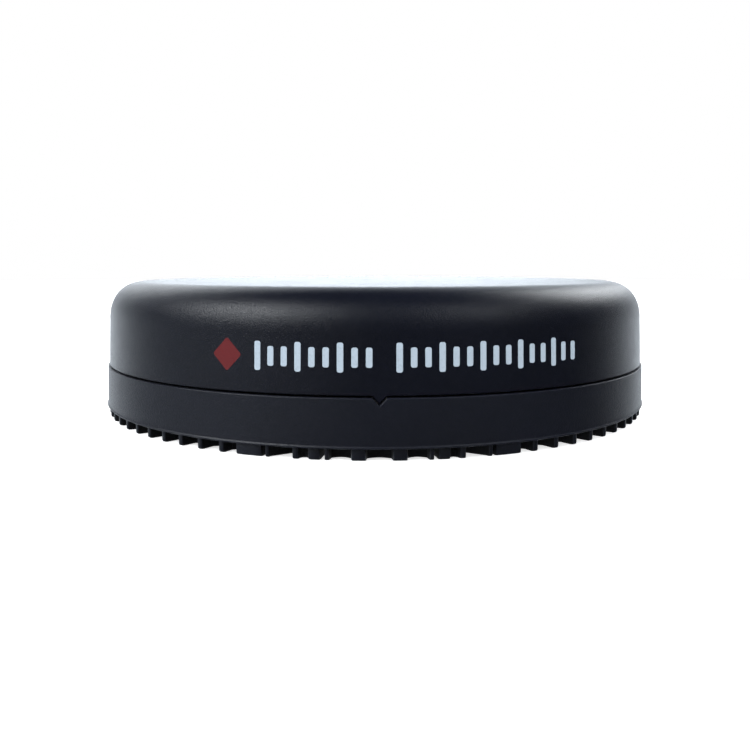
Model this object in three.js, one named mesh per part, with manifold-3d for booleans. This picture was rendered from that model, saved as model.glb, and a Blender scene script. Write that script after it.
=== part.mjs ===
// Putting practice puck: a weighted, round target with a lift-off cap and a treaded rubber shoe.
// Millimetres, +Z up, origin under the centre at the level of the tread tips. The key faces -Y.
import * as THREE from "three";
import { mergeVertices } from "three/addons/utils/BufferGeometryUtils.js";
import Module from "manifold-3d";

const wasm = await Module();
wasm.setup();

// Driving dimensions
const PUCK_RADIUS = 54; // at the moulded lip round the foot of the band
const PUCK_HEIGHT = 25.4;
const TREAD_HEIGHT = 1.8;
const BAND_HEIGHT = 7.4;
const SEAM_GAP = 0.3;
const FIT_GAP = 0.3; // clear space between any two neighbours
const LOOSE_GAP = 0.4; // and between round faces, whose flats come a little closer
const EDGE_BREAK = 0.2; // small chamfer that takes the sharpness off a moulded edge
const ROUND_STEPS = 60;
const SMALL_ROUND_STEPS = 20;
const CUT_PAST = 1; // how far a cutter runs past the face it cuts

// Cap
const CAP_RIM_RADIUS = 53.4;
const CAP_SHOULDER_RADIUS = 53.1;
const CAP_WALL = 2.4;
const SHOULDER_WIDTH = 6.4; // how far the rounded shoulder reaches in from the wall
const SHOULDER_DROP = 7;
const SHOULDER_POWER = 2.2; // 2 is a plain ellipse, higher is squarer
const SHOULDER_STEPS = 8;
const INNER_SHOULDER_STEPS = 4;
const CROWN = 0.4; // rise of the top from the shoulder to its flat middle
const FLAT_TOP_RADIUS = 12;
const SPIGOT_OUTER = 50.6;
const SPIGOT_INNER = 48.9;
const SPIGOT_DEPTH = 4;
const SPIGOT_LEAD = 0.3; // chamfer that guides the spigot in
const SPIGOT_ROOT = 1.5; // height above the rim where the thick foot of the wall begins to thin
const SPIGOT_ROOT_TOP = 3;
const CAP_RIB_COUNT = 8;
const CAP_RIB_LENGTH = 11;
const CAP_RIB_WIDTH = 1.4;
const CAP_RIB_HEIGHT = 5.6;
const RIB_ROOT = 0.4; // how far a rib runs into the wall

// Key on the cap's rim, with its notch in the band
const KEY_HALF_WIDTH = 1;
const KEY_DEPTH = 1.05;

// Rubber shoe
const BAND_TOP_RADIUS = 53.7;
const BAND_INNER = 50.9;
const LIP_HEIGHT = 0.25;
const LIP_STEP = 0.15; // how far the lip stands proud of the band
const SOLE_THICKNESS = 2.6;
const TREAD_RADIUS = 53.6;
const TREAD_RING_INNER = 46.5;
const SECTOR_COUNT = 3; // the outer tread repeats, and mirrors, in each sector
const RIB_PITCH = 4.473; // degrees
const RIB_WIDTH = 1;
const RIBS_PER_HALF = 8;
const RIB_POCKET_DEPTH = 3.1;
const SLOT_DEPTH = 5.9;
const SLOT_WIDTH = 0.8; // degrees: a gap this narrow is straight-sided, a wider one is scooped
const POCKET_CORNER = 0.12; // where the scooped back starts, as a part of the pocket's width
const POCKET_CORNER_DEPTH = 0.75; // and how deep it is there, as a part of the depth
const LONG_LUG = 3; // degrees: a lug longer than this follows the round with a middle point
const BLOCK_RING = { inner: 38.5, outer: 44.5, count: 30, fill: 0.7 };
const SCREW_RING = { inner: 24.5, outer: 35.5, count: 20, fill: 0.78 };
const CENTRE_RING = { inner: 17.5, outer: 21.5, count: 10, fill: 0.82 };
const CENTRE_PAD_RADIUS = 13;

// Tray, weight and pads
const TRAY_FLOOR = 2;
const TRAY_WALL = 1.6;
const TRAY_FLANGE_RADIUS = 50.5;
const TRAY_FLANGE = 0.6;
const TRAY_HEIGHT = 4.3;
const WEIGHT_RADIUS = 44;
const WEIGHT_THICKNESS = 6.5;
const WEIGHT_CHAMFER = 0.5;
const WEIGHT_PAD_THICKNESS = 1;
const WEIGHT_PAD_INNER = 9;
const WEIGHT_PAD_RADIUS = 43;
const PAD_HOLE_RADIUS = 4;
const CAP_PAD_RADIUS = 38;

// Fasteners
const SCREW_CIRCLE_RADIUS = 30;
const SCREW_COUNT = 4;
const SCREW_RADIUS = 2;
const SCREW_LENGTH = 10.6;
const HEAD_RADIUS = 3.5;
const HEAD_HEIGHT = 1.4;
const HEAD_DOME = 0.9; // the rounded edge of the head
const SCREW_POINT = 0.5; // chamfer at the end of the shank
const CROSS_SPAN = 3.8;
const CROSS_WIDTH = 0.8;
const CROSS_DEPTH = 0.9;
const WASHER_RADIUS = 5;
const WASHER_THICKNESS = 0.8;
const COUNTERBORE_DEPTH = 1.6;

// Heights of the stack, from the ground up
const BAND_TOP = TREAD_HEIGHT + BAND_HEIGHT;
const CAP_RIM = BAND_TOP + SEAM_GAP;
const SOLE_TOP = TREAD_HEIGHT + SOLE_THICKNESS;
const TRAY_BOTTOM = SOLE_TOP + FIT_GAP;
const TRAY_FLOOR_TOP = TRAY_BOTTOM + TRAY_FLOOR;
const WEIGHT_PAD_BOTTOM = TRAY_FLOOR_TOP + FIT_GAP;
const WEIGHT_BOTTOM = WEIGHT_PAD_BOTTOM + WEIGHT_PAD_THICKNESS + FIT_GAP;
const WEIGHT_TOP = WEIGHT_BOTTOM + WEIGHT_THICKNESS;
const CAP_CEILING = PUCK_HEIGHT - CAP_WALL;
const COUNTERBORE_TOP = TREAD_HEIGHT + COUNTERBORE_DEPTH;
const WASHER_BOTTOM = COUNTERBORE_TOP - FIT_GAP - WASHER_THICKNESS;
const HEAD_TOP = WASHER_BOTTOM - FIT_GAP;
const HOLE_RADIUS = SCREW_RADIUS + LOOSE_GAP;

// Materials
function material(color, roughness, metalness) {
  return new THREE.MeshStandardMaterial({ color, roughness, metalness });
}
const BLACK_PLASTIC = material(0x1c1f26, 0.42, 0);
const BLACK_RUBBER = material(0x191a1e, 0.62, 0);
const GREY_PLASTIC = material(0x303236, 0.55, 0);
const GREY_FOAM = material(0x4a4c50, 0.95, 0);
const ZINC_STEEL = material(0x9a9c9e, 0.4, 0.9);

// Solids
function solidOf(geometry) {
  const bare = geometry.clone();
  bare.deleteAttribute("normal");
  bare.deleteAttribute("uv");
  const merged = mergeVertices(bare, 1e-4);
  return new wasm.Manifold(
    new wasm.Mesh({
      numProp: 3,
      vertProperties: new Float32Array(merged.attributes.position.array),
      triVerts: new Uint32Array(merged.index.array),
    }),
  );
}

function geometryOf(solid) {
  const mesh = solid.getMesh();
  const geometry = new THREE.BufferGeometry();
  geometry.setAttribute("position", new THREE.BufferAttribute(mesh.vertProperties, 3));
  geometry.setIndex(new THREE.BufferAttribute(mesh.triVerts, 1));
  geometry.computeVertexNormals();
  return geometry;
}

// A turned body from a list of [radius, height], counter-clockwise seen with +Z up.
function turned(profile, steps = ROUND_STEPS) {
  const points = profile.map(([radius, height]) => new THREE.Vector2(radius, height));
  return new THREE.LatheGeometry(points, steps).rotateX(Math.PI / 2);
}

// A turned ring, whose profile closes on itself.
function turnedRing(profile, steps = ROUND_STEPS) {
  return turned([...profile, profile[0]], steps);
}

function disc(radius, bottom, top, steps = ROUND_STEPS) {
  return turned([[0, bottom], [radius, bottom], [radius, top], [0, top]], steps);
}

function ring(inner, outer, bottom, top, steps = ROUND_STEPS) {
  return turnedRing([[inner, bottom], [outer, bottom], [outer, top], [inner, top]], steps);
}

// A flat outline in the ground plane, raised from one height to another.
function raised(shape, bottom, top) {
  const geometry = new THREE.ExtrudeGeometry(shape, {
    depth: top - bottom,
    bevelEnabled: false,
    curveSegments: ROUND_STEPS / 2,
  });
  return geometry.translate(0, 0, bottom);
}

// Angles are measured in degrees from the key, which faces -Y, towards +X.
function onCircle(radius, degrees) {
  const angle = THREE.MathUtils.degToRad(degrees);
  return new THREE.Vector2(radius * Math.sin(angle), -radius * Math.cos(angle));
}

function screwPlaces() {
  return Array.from({ length: SCREW_COUNT }, (_, index) => {
    const degrees = (360 / SCREW_COUNT) * (index + 0.5);
    return onCircle(SCREW_CIRCLE_RADIUS, degrees);
  });
}

function drilled(solid, radius, bottom, top) {
  return screwPlaces().reduce((body, place) => {
    const drill = disc(radius, bottom, top, SMALL_ROUND_STEPS).translate(place.x, place.y, 0);
    return body.subtract(solidOf(drill));
  }, solid);
}

// The rounded shoulder, from its foot on the wall to where the top begins. Offset is inwards.
function shoulder(offset, steps) {
  const foot = PUCK_HEIGHT - CROWN - SHOULDER_DROP;
  const centre = CAP_SHOULDER_RADIUS - SHOULDER_WIDTH;
  return Array.from({ length: steps + 1 }, (_, step) => {
    const angle = (Math.PI / 2) * (step / steps);
    const across = Math.cos(angle) ** (2 / SHOULDER_POWER);
    const up = Math.sin(angle) ** (2 / SHOULDER_POWER);
    return [centre + (SHOULDER_WIDTH - offset) * across, foot + (SHOULDER_DROP - offset) * up];
  });
}

// The V-shaped key, or the notch for it, as a prism through the front of the rim. Its sides keep
// one slope, so its width follows from how far its top lies above its apex.
function keyPrism(top, apex, inner, outer) {
  const halfWidth = ((top - apex) * KEY_HALF_WIDTH) / KEY_DEPTH;
  const shape = new THREE.Shape([
    new THREE.Vector2(-halfWidth, top),
    new THREE.Vector2(0, apex),
    new THREE.Vector2(halfWidth, top),
  ]);
  const prism = new THREE.ExtrudeGeometry(shape, { depth: outer - inner, bevelEnabled: false });
  return prism.rotateX(Math.PI / 2).translate(0, -inner, 0);
}

function topCap() {
  const shell = turned([
    [0, CAP_CEILING],
    [FLAT_TOP_RADIUS, CAP_CEILING],
    ...shoulder(CAP_WALL, INNER_SHOULDER_STEPS).reverse(),
    [CAP_SHOULDER_RADIUS - CAP_WALL, CAP_RIM + SPIGOT_ROOT_TOP],
    [SPIGOT_INNER, CAP_RIM + SPIGOT_ROOT],
    [SPIGOT_INNER, CAP_RIM - SPIGOT_DEPTH + SPIGOT_LEAD],
    [SPIGOT_INNER + SPIGOT_LEAD, CAP_RIM - SPIGOT_DEPTH],
    [SPIGOT_OUTER - SPIGOT_LEAD, CAP_RIM - SPIGOT_DEPTH],
    [SPIGOT_OUTER, CAP_RIM - SPIGOT_DEPTH + SPIGOT_LEAD],
    [SPIGOT_OUTER, CAP_RIM],
    [CAP_RIM_RADIUS - EDGE_BREAK, CAP_RIM],
    [CAP_RIM_RADIUS, CAP_RIM + EDGE_BREAK],
    ...shoulder(0, SHOULDER_STEPS),
    [FLAT_TOP_RADIUS, PUCK_HEIGHT],
    [0, PUCK_HEIGHT],
  ]);
  const keyTop = CAP_RIM + EDGE_BREAK;
  const keyApex = CAP_RIM - KEY_DEPTH;
  const key = keyPrism(keyTop, keyApex, BAND_INNER, CAP_RIM_RADIUS - EDGE_BREAK / 2);
  let body = solidOf(shell).add(solidOf(key));
  const ribMiddle = CAP_SHOULDER_RADIUS - CAP_WALL + RIB_ROOT - CAP_RIB_LENGTH / 2;
  const ribHeart = CAP_CEILING + RIB_ROOT / 4 - CAP_RIB_HEIGHT / 2;
  for (let index = 0; index < CAP_RIB_COUNT; index += 1) {
    const rib = new THREE.BoxGeometry(CAP_RIB_LENGTH, CAP_RIB_WIDTH, CAP_RIB_HEIGHT);
    rib.translate(ribMiddle, 0, ribHeart).rotateZ((2 * Math.PI * index) / CAP_RIB_COUNT);
    body = body.add(solidOf(rib));
  }
  return geometryOf(body);
}

function capPad() {
  return disc(CAP_PAD_RADIUS, WEIGHT_TOP + FIT_GAP, CAP_CEILING - CROWN - FIT_GAP);
}

// The gaps in half a sector of the outer tread: where one starts and ends, in degrees from the
// sector's middle, and how deep it is at either end.
const HALF_SECTOR_GAPS = [
  [4.4, 7.85, 1.95, 1.95],
  [8.6, 9.3, SLOT_DEPTH, SLOT_DEPTH],
  [11.2, 12.8, 1.1, 1.1],
  [13.8, 17.7, 4, 0.6],
  [18.35, 18.95, SLOT_DEPTH, SLOT_DEPTH],
  [23.6, 25.95, 2.4, 2.4],
];
const MIDDLE_GAP = [-2.1, 2.1, 1.95, 1.95];

function sectorGaps() {
  const half = 180 / SECTOR_COUNT;
  const ribMiddle = (index) => half - RIB_PITCH * (RIBS_PER_HALF - 0.5 - index);
  const ribGaps = Array.from({ length: RIBS_PER_HALF }, (_, index) => {
    const start = ribMiddle(index) + RIB_WIDTH / 2;
    const end = ribMiddle(index + 1) - RIB_WIDTH / 2;
    return [start, end, RIB_POCKET_DEPTH, RIB_POCKET_DEPTH];
  });
  const right = [...HALF_SECTOR_GAPS, ...ribGaps];
  const left = right
    .slice(0, -1) // the last gap lies across the sector's end
    .map(([start, end, startDepth, endDepth]) => [-end, -start, endDepth, startDepth])
    .reverse();
  return [...left, MIDDLE_GAP, ...right];
}

function allGaps() {
  const turns = Array.from({ length: SECTOR_COUNT }, (_, index) => (360 / SECTOR_COUNT) * index);
  return turns.flatMap((turn) =>
    sectorGaps().map(([start, end, ...depths]) => [start + turn, end + turn, ...depths]),
  );
}

// The back of a gap: straight across a slot, scooped in a pocket, slanting in a wedge.
function gapEdge([start, end, startDepth, endDepth]) {
  const width = end - start;
  if (width <= SLOT_WIDTH) {
    return [start, end].map((angle) => onCircle(TREAD_RADIUS - startDepth, angle));
  }
  const level = startDepth === endDepth;
  const part = level ? POCKET_CORNER_DEPTH : 1;
  return [
    onCircle(TREAD_RADIUS - startDepth * part, start + width * POCKET_CORNER),
    ...(level ? [onCircle(TREAD_RADIUS - startDepth, start + width / 2)] : []),
    onCircle(TREAD_RADIUS - endDepth * part, end - width * POCKET_CORNER),
  ];
}

function outerTread() {
  const gaps = allGaps();
  const edge = [];
  gaps.forEach((gap, index) => {
    const [start, end] = gap;
    const next = gaps[(index + 1) % gaps.length][0] + (index + 1 === gaps.length ? 360 : 0);
    const middles = next - end > LONG_LUG ? [onCircle(TREAD_RADIUS, (end + next) / 2)] : [];
    edge.push(onCircle(TREAD_RADIUS, start), ...gapEdge(gap), onCircle(TREAD_RADIUS, end));
    edge.push(...middles);
  });
  const shape = new THREE.Shape(edge);
  shape.holes.push(new THREE.Path().absarc(0, 0, TREAD_RING_INNER, 0, 2 * Math.PI));
  return raised(shape, 0, TREAD_HEIGHT + FIT_GAP);
}

// A ring of equal blocks with gaps between them, left out where a screw head sits.
function treadBlocks({ inner, outer, count, fill }) {
  const pitch = 360 / count;
  const reach = (pitch * fill) / 2;
  const middles = Array.from({ length: count }, (_, index) => pitch * (index + 0.5));
  const clear = middles.filter((middle) => {
    const heart = onCircle((inner + outer) / 2, middle);
    return screwPlaces().every((place) => place.distanceTo(heart) > WASHER_RADIUS);
  });
  return clear.map((middle) => {
    const angles = [middle - reach, middle, middle + reach];
    const outerEdge = angles.map((angle) => onCircle(outer, angle));
    const innerEdge = angles.map((angle) => onCircle(inner, angle)).reverse();
    return raised(new THREE.Shape([...outerEdge, ...innerEdge]), 0, TREAD_HEIGHT + FIT_GAP);
  });
}

function rubberShoe() {
  const shoe = turned([
    [0, TREAD_HEIGHT],
    [PUCK_RADIUS - EDGE_BREAK, TREAD_HEIGHT],
    [PUCK_RADIUS, TREAD_HEIGHT + EDGE_BREAK],
    [PUCK_RADIUS, TREAD_HEIGHT + LIP_HEIGHT],
    [PUCK_RADIUS - LIP_STEP, TREAD_HEIGHT + LIP_HEIGHT + LIP_STEP],
    [BAND_TOP_RADIUS, BAND_TOP - EDGE_BREAK],
    [BAND_TOP_RADIUS - EDGE_BREAK, BAND_TOP],
    [BAND_INNER + EDGE_BREAK, BAND_TOP],
    [BAND_INNER, BAND_TOP - EDGE_BREAK],
    [BAND_INNER, SOLE_TOP],
    [0, SOLE_TOP],
  ]);
  const notchDrop = FIT_GAP * Math.hypot(1, KEY_DEPTH / KEY_HALF_WIDTH);
  const notchApex = CAP_RIM - KEY_DEPTH - notchDrop;
  const notch = keyPrism(
    BAND_TOP + CUT_PAST,
    notchApex,
    BAND_INNER - CUT_PAST,
    PUCK_RADIUS + CUT_PAST,
  );
  let body = solidOf(shoe).subtract(solidOf(notch)).add(solidOf(outerTread()));
  for (const piece of [BLOCK_RING, SCREW_RING, CENTRE_RING].flatMap(treadBlocks)) {
    body = body.add(solidOf(piece));
  }
  body = body.add(solidOf(disc(CENTRE_PAD_RADIUS, 0, TREAD_HEIGHT + FIT_GAP)));
  body = drilled(body, HOLE_RADIUS, 0, SOLE_TOP + CUT_PAST);
  return geometryOf(drilled(body, WASHER_RADIUS + FIT_GAP, 0, COUNTERBORE_TOP));
}

function baseTray() {
  const wallOuter = SPIGOT_INNER - LOOSE_GAP;
  const tray = turned([
    [0, TRAY_BOTTOM],
    [TRAY_FLANGE_RADIUS, TRAY_BOTTOM],
    [TRAY_FLANGE_RADIUS, TRAY_BOTTOM + TRAY_FLANGE],
    [wallOuter, TRAY_BOTTOM + TRAY_FLANGE],
    [wallOuter, TRAY_BOTTOM + TRAY_HEIGHT],
    [wallOuter - TRAY_WALL, TRAY_BOTTOM + TRAY_HEIGHT],
    [wallOuter - TRAY_WALL, TRAY_FLOOR_TOP],
    [0, TRAY_FLOOR_TOP],
  ]);
  const below = TRAY_BOTTOM - CUT_PAST;
  return geometryOf(drilled(solidOf(tray), HOLE_RADIUS, below, TRAY_FLOOR_TOP + CUT_PAST));
}

function weightPad() {
  const top = WEIGHT_PAD_BOTTOM + WEIGHT_PAD_THICKNESS;
  const pad = solidOf(ring(WEIGHT_PAD_INNER, WEIGHT_PAD_RADIUS, WEIGHT_PAD_BOTTOM, top));
  const below = WEIGHT_PAD_BOTTOM - CUT_PAST;
  return geometryOf(drilled(pad, PAD_HOLE_RADIUS, below, top + CUT_PAST));
}

function weightDisc() {
  const plain = turned([
    [0, WEIGHT_BOTTOM],
    [WEIGHT_RADIUS - WEIGHT_CHAMFER, WEIGHT_BOTTOM],
    [WEIGHT_RADIUS, WEIGHT_BOTTOM + WEIGHT_CHAMFER],
    [WEIGHT_RADIUS, WEIGHT_TOP - WEIGHT_CHAMFER],
    [WEIGHT_RADIUS - WEIGHT_CHAMFER, WEIGHT_TOP],
    [0, WEIGHT_TOP],
  ]);
  const below = WEIGHT_BOTTOM - CUT_PAST;
  return geometryOf(drilled(solidOf(plain), HOLE_RADIUS, below, WEIGHT_TOP + CUT_PAST));
}

// A pan-head screw driven upwards from below, with a cross recess in its head.
function screw() {
  const bottom = HEAD_TOP - HEAD_HEIGHT;
  const tip = HEAD_TOP + SCREW_LENGTH;
  const plain = turned([
    [0, bottom],
    [HEAD_RADIUS - HEAD_DOME, bottom],
    [HEAD_RADIUS - EDGE_BREAK, bottom + HEAD_DOME / 2],
    [HEAD_RADIUS, bottom + HEAD_DOME],
    [HEAD_RADIUS, HEAD_TOP],
    [SCREW_RADIUS, HEAD_TOP],
    [SCREW_RADIUS, tip - SCREW_POINT],
    [SCREW_RADIUS - SCREW_POINT, tip],
    [0, tip],
  ], SMALL_ROUND_STEPS);
  const arm = new THREE.BoxGeometry(CROSS_SPAN, CROSS_WIDTH, 2 * CROSS_DEPTH);
  arm.translate(0, 0, bottom);
  const crossArm = arm.clone().rotateZ(Math.PI / 2);
  return geometryOf(solidOf(plain).subtract(solidOf(arm)).subtract(solidOf(crossArm)));
}

function washer() {
  const washerTop = WASHER_BOTTOM + WASHER_THICKNESS;
  return ring(HOLE_RADIUS, WASHER_RADIUS, WASHER_BOTTOM, washerTop, SMALL_ROUND_STEPS);
}

// Assembly
function named(name, geometry, look) {
  const mesh = new THREE.Mesh(geometry, look);
  mesh.name = name;
  return mesh;
}

const cap = new THREE.Group();
cap.add(named("top_cap", topCap(), BLACK_PLASTIC));
cap.add(named("cap_pad", capPad(), GREY_FOAM));

const base = new THREE.Group();
base.add(named("rubber_shoe", rubberShoe(), BLACK_RUBBER));
base.add(named("base_tray", baseTray(), GREY_PLASTIC));
base.add(named("weight_pad", weightPad(), GREY_FOAM));
base.add(named("weight_disc", weightDisc(), ZINC_STEEL));

screwPlaces().forEach((place, index) => {
  const fastener = new THREE.Group();
  fastener.position.set(place.x, place.y, 0);
  fastener.add(named(`screw_${index + 1}`, screw(), ZINC_STEEL));
  fastener.add(named(`washer_${index + 1}`, washer(), ZINC_STEEL));
  base.add(fastener);
});

const puck = new THREE.Group();
puck.add(base, cap);

export default puck;
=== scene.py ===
"""The looks of a putting practice puck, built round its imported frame. Metres, +Z up, key at -Y."""

import math

import bmesh
import bpy
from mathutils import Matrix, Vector


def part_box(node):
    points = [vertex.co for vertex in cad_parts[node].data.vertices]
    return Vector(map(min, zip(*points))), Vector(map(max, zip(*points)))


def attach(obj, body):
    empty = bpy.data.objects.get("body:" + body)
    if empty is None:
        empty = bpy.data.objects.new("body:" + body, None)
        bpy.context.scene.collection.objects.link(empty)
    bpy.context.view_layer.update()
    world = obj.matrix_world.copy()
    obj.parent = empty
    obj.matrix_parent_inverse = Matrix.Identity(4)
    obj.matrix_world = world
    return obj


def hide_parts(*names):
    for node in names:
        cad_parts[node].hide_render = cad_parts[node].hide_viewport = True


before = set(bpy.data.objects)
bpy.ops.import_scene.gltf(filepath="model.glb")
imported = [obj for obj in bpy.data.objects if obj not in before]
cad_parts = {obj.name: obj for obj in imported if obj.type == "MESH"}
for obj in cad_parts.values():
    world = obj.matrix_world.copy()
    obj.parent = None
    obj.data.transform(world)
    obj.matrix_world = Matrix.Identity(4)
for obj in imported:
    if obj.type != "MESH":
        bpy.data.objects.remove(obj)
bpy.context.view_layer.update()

MM = 0.001
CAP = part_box("top_cap")
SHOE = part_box("rubber_shoe")
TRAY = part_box("base_tray")
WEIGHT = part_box("weight_disc")
WEIGHT_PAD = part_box("weight_pad")
CAP_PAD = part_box("cap_pad")
SCREWS = ["screw_1", "screw_2", "screw_3", "screw_4"]
WASHERS = ["washer_1", "washer_2", "washer_3", "washer_4"]

TOUCH = 1e-6  # radii closer than this are the same
PAST = 1 * MM  # how far a cutter runs past the face it cuts
ROUND_STEPS = 288
SHARP = 35  # degrees: a sharper edge isn't shaded smooth

# Cap
CAP_RADIUS = CAP[1].x
CAP_TOP = CAP[1].z
SEAM_GAP = 0.3 * MM
CAP_RIM = SHOE[1].z + SEAM_GAP
WALL = 2.4 * MM
SHOULDER_RADIUS = CAP_RADIUS - 0.3 * MM
SHOULDER_WIDTH = 6.4 * MM
SHOULDER_DROP = 7.0 * MM
SHOULDER_POWER = 2.2
CROWN = 0.4 * MM
SHOULDER_FOOT = CAP_TOP - CROWN - SHOULDER_DROP
FLAT_TOP = 12.0 * MM
SPIGOT_OUTER = 50.6 * MM
SPIGOT_INNER = 48.9 * MM
SPIGOT_ROOT = 1.5 * MM  # height above the rim where the thick foot of the wall begins to thin
SPIGOT_ROOT_TOP = 3 * MM
CAP_RIB_COUNT = 8

# Key and notch
KEY_DEPTH = 1.05 * MM
KEY_SLOPE = 1.05
KEY_FADE = (0.3 * MM, 1.6 * MM)  # heights over the rim where the key's shape starts and stops fading
NOTCH_CLEARANCE = 0.12 * MM
NOTCH_FADE = (0.2 * MM, 1.7 * MM)  # the same for the notch, under the band's top

# Shoe and tread
PUCK_RADIUS = SHOE[1].x
BAND_TOP = SHOE[1].z
BAND_TOP_RADIUS = PUCK_RADIUS - 0.3 * MM
BAND_INNER = 50.9 * MM
TREAD_HEIGHT = 1.8 * MM
SOLE_TOP = TREAD_HEIGHT + 2.6 * MM
LIP_CORNER = 0.08 * MM
LIP_HEIGHT = 0.2 * MM
LIP_SLOPE_TOP = 0.4 * MM
LIP_STEP = 0.15 * MM  # how far the lip stands proud of the band
TREAD_RADIUS = PUCK_RADIUS - 0.4 * MM
TREAD_INNER = 46.5 * MM
TREAD_ROOT = TREAD_HEIGHT + 0.2 * MM  # blocks and ribs reach this far up, into the sole
TREAD_EDGE = 0.3 * MM
SECTORS = 3
RIB_PITCH = 4.473  # degrees
RIB_WIDTH = 1.0  # degrees
RIBS_PER_HALF = 8
SLOT_DEPTH = 5.9  # mm
BLOCK_RINGS = (  # inner and outer radius in mm, number of blocks, filled part of the pitch
    (38.5, 44.5, 30, 0.7),
    (24.5, 35.5, 20, 0.78),
    (17.5, 21.5, 10, 0.82),
)
CENTRE_PAD_RADIUS = 13 * MM

# Tray and weight
TRAY_WALL = 1.6 * MM
TRAY_FLOOR = 2.0 * MM
TRAY_FLANGE = 0.6 * MM
TRAY_GAP = 0.4 * MM  # between the tray's wall and the spigot
WEIGHT_EDGE = 0.5 * MM
WEIGHT_PAD_HOLE = 9 * MM  # radius

# Screws and washers
HOLE_RADIUS = 2.4 * MM
COUNTERBORE_RADIUS = 5.3 * MM
COUNTERBORE_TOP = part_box("washer_1")[1].z + 0.3 * MM
BLOCK_CLEARANCE = 5 * MM  # a tread block with its middle this near to a screw is left out
PAD_HOLE_RADIUS = 4 * MM
HEAD_RADIUS = 3.5 * MM
HEAD_HEIGHT = 1.4 * MM
THREAD_CORE = 1.72 * MM
THREAD_CREST = 2.0 * MM
THREAD_PITCH = 0.7 * MM


# Meshes


def finish_mesh(name, mesh, materials):
    """Makes an object of a mesh, shaded smooth apart from its sharp edges."""
    for polygon in mesh.polygons:
        polygon.use_smooth = True
    mesh.set_sharp_from_angle(angle=math.radians(SHARP))
    for material in materials:
        mesh.materials.append(material)
    piece = bpy.data.objects.new(name, mesh)
    bpy.context.scene.collection.objects.link(piece)
    return piece


def mesh_of(name, vertices, faces):
    mesh = bpy.data.meshes.new(name)
    mesh.from_pydata(vertices, [], faces)
    return mesh


def joined(name, meshes):
    """One mesh that holds copies of several."""
    work = bmesh.new()
    for mesh in meshes:
        work.from_mesh(mesh)
        bpy.data.meshes.remove(mesh)
    whole = bpy.data.meshes.new(name)
    work.to_mesh(whole)
    work.free()
    return whole


def cut(piece, cutter_mesh):
    """Cuts a mesh away from a piece."""
    cutter = bpy.data.objects.new("cutter", cutter_mesh)
    bpy.context.scene.collection.objects.link(cutter)
    modifier = piece.modifiers.new("cut", "BOOLEAN")
    modifier.operation = "DIFFERENCE"
    modifier.solver = "EXACT"
    modifier.object = cutter
    bpy.context.view_layer.update()
    graph = bpy.context.evaluated_depsgraph_get()
    result = bpy.data.meshes.new_from_object(piece.evaluated_get(graph))
    piece.modifiers.clear()
    result.set_sharp_from_angle(angle=math.radians(SHARP))
    piece.data = result
    bpy.data.objects.remove(cutter)
    bpy.data.meshes.remove(cutter_mesh)


def rounded(corners, closed=False, steps=6):
    """Points (radius, height) along straight runs between corners (radius, height, fillet)."""
    points = []
    count = len(corners)
    for index, (radius, height, fillet) in enumerate(corners):
        here = Vector((radius, height))
        end = index in (0, count - 1) and not closed
        if end or fillet <= 0:
            points.append(here)
            continue
        before = Vector(corners[index - 1][:2]) - here
        after = Vector(corners[(index + 1) % count][:2]) - here
        half = before.angle(after) / 2
        reach = fillet / math.tan(half)
        start = here + before.normalized() * reach
        stop = here + after.normalized() * reach
        middle = here + (before.normalized() + after.normalized()).normalized() * (
            fillet / math.sin(half)
        )
        support = min(0.5 * fillet, 0.2 * (before.length - reach), 0.2 * (after.length - reach))
        if support > 0:
            points.append(start + before.normalized() * support)
        swing = math.pi - 2 * half
        for step in range(steps + 1):
            part = step / steps
            one = (start - middle) * (math.sin((1 - part) * swing) / math.sin(swing))
            two = (stop - middle) * (math.sin(part * swing) / math.sin(swing))
            points.append(middle + one + two)
        if support > 0:
            points.append(stop + after.normalized() * support)
    return [(point.x, point.y) for point in points]


def even_angles(steps=ROUND_STEPS):
    return [2 * math.pi * step / steps for step in range(steps)]


def key_angles():
    """Even angles with finer ones across the key, which is at angle 0."""
    fine = set()
    for edge in (KEY_DEPTH, KEY_DEPTH + NOTCH_CLEARANCE):
        reach = edge / KEY_SLOPE / CAP_RADIUS
        for part in (0, 0.03, 0.35, 0.7, 0.97, 1.0, 1.06, 1.3):
            fine.update((part * reach, -part * reach))
    limit = max(fine) + math.pi / ROUND_STEPS
    even = [angle if angle < math.pi else angle - 2 * math.pi for angle in even_angles()]
    return sorted(fine | {angle for angle in even if abs(angle) > limit})


def turned(name, profile, closed=False, angles=None, drop=None):
    """A turned mesh. Angle 0 faces -Y and grows towards +X. drop(point, angle) lowers a point."""
    angles = angles or even_angles()
    count = len(angles)
    vertices, rings = [], []
    for radius, height in profile:
        if radius < TOUCH:
            rings.append([len(vertices)] * count)
            vertices.append((0, 0, height))
            continue
        rings.append(list(range(len(vertices), len(vertices) + count)))
        for angle in angles:
            lower = drop((radius, height), angle) if drop else 0
            vertices.append(
                (radius * math.sin(angle), -radius * math.cos(angle), height - lower)
            )
    faces = []
    pairs = list(zip(rings, rings[1:]))
    if closed:
        pairs.append((rings[-1], rings[0]))
    for low, high in pairs:
        for step in range(count):
            after = (step + 1) % count
            face = [low[step], low[after], high[after], high[step]]
            face = [vertex for place, vertex in enumerate(face) if vertex != face[place - 1]]
            if len(face) > 2:
                faces.append(face)
    return mesh_of(name, vertices, faces)


def on_circle(radius, angle, height=0.0):
    return (radius * math.sin(angle), -radius * math.cos(angle), height)


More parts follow.
